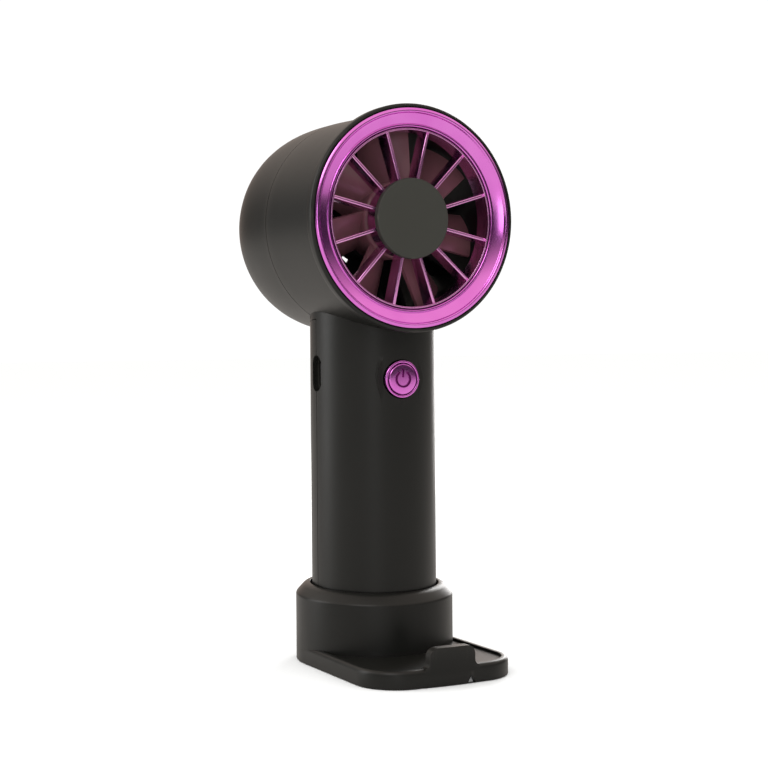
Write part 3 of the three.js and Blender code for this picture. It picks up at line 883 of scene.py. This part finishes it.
# %% [markdown]
# ## The impeller and the duct's vanes
# An axial impeller's blade is steeper at its root than at its tip, because the tip moves faster. A flat
# grid is bent onto the cylinder that the blade sweeps, row by row, and then given its thickness. Its
# ends then follow the hub and the duct exactly, with no trimming. The duct's nine fixed vanes are made
# in the same way with almost no twist.

# %% Blades


def blade(root, tip, chord, thickness, middle_y, root_angle, tip_angle, camber):
    """One thin blade at three o'clock, twisted from root to tip and wrapped about the barrel's axis."""
    work = bmesh.new()
    bmesh.ops.create_grid(work, x_segments=14, y_segments=10, size=0.5)
    for vert in work.verts:
        share, along_chord = vert.co.x + 0.5, vert.co.y * chord
        angle = root_angle + (tip_angle - root_angle) * share
        radius = root + (tip - root) * share
        lift = camber * (1 - (2 * vert.co.y) ** 2)
        side = along_chord * math.sin(angle) + lift * math.cos(angle)
        depth = along_chord * math.cos(angle) - lift * math.sin(angle)
        swing = side / radius
        vert.co = Vector(
            (
                radius * math.cos(swing),
                middle_y + depth,
                BARREL_Z + radius * math.sin(swing),
            )
        ) * MM
    bmesh.ops.recalc_face_normals(work, faces=work.faces[:])
    bmesh.ops.solidify(work, geom=work.faces[:], thickness=thickness * MM)
    bmesh.ops.recalc_face_normals(work, faces=work.faces[:])
    return work


# %% Impeller
impeller_blade = blade(  # its angles are in radians from the barrel's axis
    root=11.8,
    tip=30.2,
    chord=17.6,
    thickness=1.1,
    middle_y=-12.4,
    root_angle=0.75,
    tip_angle=1.0,
    camber=1.4,
)
BLADE_COUNT, BLADE_FIRST = 7, 8
blades = around_barrel(impeller_blade, BLADE_COUNT, BLADE_FIRST)
impeller_blade.free()
BOSS_RADIUS, BOSS_INSIDE = 12.6, 11.4
BOSS_FRONT, BOSS_FLOOR, BOSS_BACK = -19.4, -17.6, -5
boss = turned(
    [
        (0, BOSS_FRONT),
        (BOSS_RADIUS, BOSS_FRONT, 1.4),
        (BOSS_RADIUS, BOSS_BACK),
        (BOSS_INSIDE, BOSS_BACK),
        (BOSS_INSIDE, BOSS_FLOOR),
        (0, BOSS_FLOOR),
    ],
    steps=96,
)
finished(
    gathered(boss, blades), "smoked_impeller", smoked_plastic, "smoked_blade", "rotor", "impeller"
)

# %% Duct and motor seat
DUCT_VANES, DUCT_VANE_FIRST = 9, 30
duct_vane = blade(
    root=12.4,
    tip=31.4,
    chord=9,
    thickness=1.0,
    middle_y=1,
    root_angle=-0.35,
    tip_angle=-0.25,
    camber=1.0,
)
duct_vanes = around_barrel(duct_vane, DUCT_VANES, DUCT_VANE_FIRST)
duct_vane.free()
DUCT_INNER, DUCT_OUTER, DUCT_FRONT, DUCT_BACK = 31.1, 32.4, -21.2, 6
duct_tube = turned(
    [
        (DUCT_INNER, DUCT_FRONT, 0.2),
        (DUCT_OUTER, DUCT_FRONT),
        (DUCT_OUTER, DUCT_BACK),
        (DUCT_INNER, DUCT_BACK, 0.2),
    ],
    steps=128,
)
motor_seat = turned(
    [
        (3.5, -14.5),
        (4.1, -14.5),
        (4.1, -3),
        (13, -3, 0.4),
        (13, 7),
        (11.8, 7),
        (11.8, -1.4),
        (4.1, -1.4),
        (4.1, 5),
        (3.5, 5),
    ],
    steps=96,
)
finished(
    gathered(duct_tube, motor_seat, duct_vanes),
    "air_duct",
    duct_abs,
    "dark_duct",
    "fan_body",
    "motor_duct",
)

# %% [markdown]
# ## The intake grille
# The round grille in the back is a rim, three rings and eight ribs, wide enough to let air in and too
# narrow for a finger. The ribs lie a little deeper than the rings, as a moulder would have them, so
# that the rings read as one pattern.

# %% Rear grille
grille_rim = turned(
    [(19.8, 42), (23, 42), (23, 43.2), (21.2, 43.2), (21.2, BACK_Y, 0.3), (19.8, BACK_Y, 0.5)],
    steps=128,
)
grille_rings = [
    turned(
        [(r - 0.7, 44.2, 0.2), (r + 0.7, 44.2, 0.2), (r + 0.7, 45.8, 0.4), (r - 0.7, 45.8, 0.4)],
        steps=96,
    )
    for r in (17, 12.8, 8.6)
]
grille_middle = turned([(0, 43.4), (4.6, 43.4, 0.3), (4.6, 45.8, 0.6), (0, 45.8)], steps=64)
rib = bar((3.6, 42.6, BARREL_Z - 0.7), (20.4, 45, BARREL_Z + 0.7), bevel=0.3)
ribs = around_barrel(rib, 8)
rib.free()
grille = gathered(grille_rim, *grille_rings, grille_middle, ribs)
bmesh.ops.translate(grille, verts=grille.verts[:], vec=(0, 0, (SKIN_Z - BARREL_Z) * MM))
finished(
    grille,
    "intake_grille",
    satin_abs,
    "black_shell",
    "fan_body",
    "rear_grille",
)

# %% [markdown]
# ## The power button
# The button is a plated disc with a rounded rim in a plated ring of its own. The mark on it is the
# usual one for power, a ring that is open at the top and a short bar, moulded a third of a millimetre
# proud. The open ring is a small square section swept through part of a turn.

# %% Button and its ring
BUTTON_FRONT = -21.9
button_body = turned(
    [
        (0, BUTTON_FRONT),
        (2.5, BUTTON_FRONT),
        (5.05, BUTTON_FRONT + 0.1, 0.45),
        (5.05, -17.1),
        (6.6, -17.1),
        (6.6, -16.4),
        (1.4, -16.4),
        (1.4, -15.6),
        (0, -15.6),
    ],
    centre_z=BUTTON_Z,
    steps=96,
)
MARK_GAP = math.radians(62)  # how much of the ring is open at its top
MARK_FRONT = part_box("power_button")[0].y / MM
mark = bar((2.2, MARK_FRONT, BUTTON_Z - 0.001), (2.8, BUTTON_FRONT + 0.2, BUTTON_Z))
side_face = [face for face in mark.faces if face.normal.z > 0.9]
bmesh.ops.delete(mark, geom=[face for face in mark.faces if face not in side_face], context="FACES")
bmesh.ops.rotate(
    mark,
    verts=mark.verts[:],
    cent=(0, 0, BUTTON_Z * MM),
    matrix=Matrix.Rotation(-math.pi / 2 + MARK_GAP / 2, 3, ALONG_Y),
)
bmesh.ops.spin(
    mark,
    geom=mark.verts[:] + mark.edges[:] + mark.faces[:],
    cent=(0, 0, BUTTON_Z * MM),
    axis=ALONG_Y,
    angle=2 * math.pi - MARK_GAP,
    steps=48,
)
mark_bar = bar((-0.3, MARK_FRONT, BUTTON_Z + 0.5), (0.3, BUTTON_FRONT + 0.2, BUTTON_Z + 3.3), bevel=0.12)
button_work = gathered(button_body, tidied(mark), mark_bar)
for face in button_work.faces:  # the mark keeps the darker plating of the second slot
    if face.calc_center_median().y < (BUTTON_FRONT - 0.02) * MM:
        face.material_index = 1
button_piece = finished(
    button_work,
    "plated_button",
    magenta_plating,
    "plated_magenta",
    "button",
    "power_button",
)
button_piece.data.materials.append(deep_plating)
button_ring = turned(
    [(5.35, -18.9), (6.15, -18.9), (6.15, -21.6, 0.3), (5.35, -21.6, 0.2)],
    centre_z=BUTTON_Z,
    steps=96,
)
finished(button_ring, "button_ring", magenta_plating, "plated_magenta", "fan_body", "button_bezel")

# %% [markdown]
# ## The stand
# The stand is one moulding: a round cup with a soft shoulder, and a flat tray that has the cup's own
# width, round behind and with round corners in front. The tray has a rolled edge and a shallow well, and
# a tab stands at its front edge. The plan outline is a rectangle whose corners are rounded by vertex
# bevels, the two rear ones until they meet in a half circle.

# %% Tray outline
CUP_RADIUS, CUP_BORE, CUP_FLOOR, CUP_TOP = 26.5, 21.7, 4.2, 25.8
TRAY_FRONT, TRAY_TOP, TRAY_CORNER, TRAY_BOW = -53.0, 5.9, 14.0, 0.75
TRAY_FOOT = 0.15  # the gap between the stand's edge and the desk


def tray_prism(inset, low, high, edge=0.0, lower_edge=0.0):
    """The tray's outline, moved in by inset, raised from low to high, with its top edge rolled."""
    side, corner = CUP_RADIUS - inset, TRAY_CORNER - inset
    front = TRAY_FRONT + inset
    work = bmesh.new()
    back = [work.verts.new(Vector(spot) * MM) for spot in ((side, side, low), (-side, side, low))]
    flat = side - corner
    front_row = [
        work.verts.new(Vector((x, front - TRAY_BOW * (1 - (x / flat) ** 2), low)) * MM)
        for x in (flat * i / 8 for i in range(-7, 8))
    ]
    corners = [work.verts.new(Vector((x, front, low)) * MM) for x in (-side, side)]
    loop = [*back, corners[0], *front_row, corners[1]]
    work.faces.new(loop)
    for verts, radius, segments in ((back, side - 0.005, 40), (corners, corner, 14)):
        bmesh.ops.bevel(
            work,
            geom=verts,
            offset=radius * MM,
            offset_type="OFFSET",
            segments=segments,
            profile=0.5,
            affect="VERTICES",
            clamp_overlap=False,
            material=-1,
        )
    bmesh.ops.remove_doubles(work, verts=work.verts[:], dist=0.02 * MM)
    lifted = bmesh.ops.extrude_face_region(work, geom=work.faces[:])["geom"]
    top = [item for item in lifted if isinstance(item, bmesh.types.BMVert)]
    bmesh.ops.translate(work, verts=top, vec=(0, 0, (high - low) * MM))
    bmesh.ops.recalc_face_normals(work, faces=work.faces[:])
    for level, size in ((high, edge), (low, lower_edge)):
        if size:
            rim = [
                item
                for item in work.edges
                if all(abs(vert.co.z - level * MM) < 1e-7 for vert in item.verts)
            ]
            bmesh.ops.bevel(
                work,
                geom=rim,
                offset=size * MM,
                offset_type="OFFSET",
                segments=4,
                profile=0.5,
                affect="EDGES",
                clamp_overlap=True,
                material=-1,
            )
    return work


# %% Cup, tab and the whole stand
cup = turned(
    [
        (0, TRAY_FOOT),
        (CUP_RADIUS, TRAY_FOOT, 0.3),
        (CUP_RADIUS, 22.3, 0.5),
        (CUP_RADIUS - 2.9, CUP_TOP - 0.35, 1.0),
        (CUP_BORE, CUP_TOP, 0.25),
        (CUP_BORE, CUP_FLOOR),
        (0, CUP_FLOOR),
    ],
    axis=ALONG_Z,
    centre_z=0,
    steps=160,
)
CUP_LEAN = 0.035  # the rim drops towards the front by this share of the distance
for vert in cup.verts:
    rise = max(0.0, vert.co.z / MM - CUP_FLOOR) / (CUP_TOP - CUP_FLOOR)
    vert.co.z += rise * CUP_LEAN * vert.co.y

TAB_HALF, TAB_TOP, TAB_DEPTH, TAB_CORNER, TAB_FLARE = 8.1, 12.2, 2.6, 3.0, 1.6
tab_side = [(TAB_HALF + TAB_FLARE, TRAY_TOP - 2.7)]
for i in range(9):  # a hollow fillet at the foot
    turn = math.radians(270 - 90 * i / 8)
    tab_side.append(
        (
            TAB_HALF + TAB_FLARE * (1 + math.cos(turn)),
            TRAY_TOP + TAB_FLARE * (1 + math.sin(turn)),
        )
    )
for i in range(13):  # a round corner at the top
    turn = math.radians(90 * i / 12)
    tab_side.append(
        (
            TAB_HALF - TAB_CORNER * (1 - math.cos(turn)),
            TAB_TOP - TAB_CORNER * (1 - math.sin(turn)),
        )
    )
tab = bmesh.new()
tab_face = tab.faces.new(
    [
        tab.verts.new(Vector((x, TRAY_FRONT - 2, z)) * MM)
        for x, z in tab_side + [(-x, z) for x, z in reversed(tab_side)]
    ]
)
tab_back = bmesh.ops.extrude_face_region(tab, geom=[tab_face])["geom"]
bmesh.ops.translate(
    tab,
    verts=[item for item in tab_back if isinstance(item, bmesh.types.BMVert)],
    vec=(0, (TAB_DEPTH + 2) * MM, 0),
)
bmesh.ops.recalc_face_normals(tab, faces=tab.faces[:])
tab = combined(tab, ("INTERSECT", tray_prism(0.05, 3, 20)))

NOTCH_X, NOTCH_HALF, NOTCH_TOP = 6.7, 1.5, 2.9
notch = bmesh.new()
notch_corners = [
    notch.verts.new(Vector((NOTCH_X + x, TRAY_FRONT - 2.6, z)) * MM)
    for x, z in ((-NOTCH_HALF, 0.2), (NOTCH_HALF, 0.2), (0, NOTCH_TOP))
]
notch.faces.new(notch_corners)
deep = bmesh.ops.extrude_face_region(notch, geom=notch.faces[:])["geom"]
bmesh.ops.translate(
    notch, verts=[item for item in deep if isinstance(item, bmesh.types.BMVert)], vec=(0, 5 * MM, 0)
)
bmesh.ops.recalc_face_normals(notch, faces=notch.faces[:])

stand = combined(
    tray_prism(0, TRAY_FOOT, TRAY_TOP, edge=1.4, lower_edge=0.3),
    ("DIFFERENCE", tray_prism(2.1, 5.0, 12)),
    ("UNION", tab),
    ("DIFFERENCE", turned([(0, CUP_FLOOR - 0.1), (24, CUP_FLOOR - 0.1), (24, 8), (0, 8)], ALONG_Z, 0)),
    ("UNION", cup),
    ("DIFFERENCE", tray_prism(1.6, -1, 2.9)),
    ("DIFFERENCE", notch),
)
finished(stand, "stand_moulding", satin_abs, "black_shell", "stand", "stand_body")

# %% [markdown]
# ## The pieces that keep their CAD shape
# Everything inside, and the small flat or round things outside, are already the right shape. They get
# the finish of what they are made of, and nothing else.

# %% Finishes of the CAD pieces
kept_finishes = {
    satin_abs: ["handle_end_cap"],
    zinc_steel: [
        "shell_screw_1",
        "shell_screw_2",
        "shell_screw_3",
        "shell_screw_4",
        "rotor_bell",
        "motor_shaft",
        "front_bearing",
        "rear_bearing",
        "usb_socket",
        "ballast_plate",
    ],
    sintered_magnet: ["magnet_ring"],
    laminated_steel: ["motor_stator"],
    white_acetal: ["switch_plunger"],
    switch_resin: ["tact_switch"],
    solder_resist: ["circuit_board", "charge_board"],
    cell_wrap: ["battery_cell"],
    cradle_abs: ["battery_cradle"],
    nickel_strip: ["positive_tab", "negative_tab"],
    red_vinyl: ["battery_lead_positive"],
    black_vinyl: ["battery_lead_negative", "motor_lead"],
    grey_silicone: ["base_pad"],
}
for material, names in kept_finishes.items():
    for name in names:
        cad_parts[name].material_slots[0].material = material
shown = [name for name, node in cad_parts.items() if not node.hide_render]
print("CAD pieces shown:", len(shown), "finished here:", sum(map(len, kept_finishes.values())))
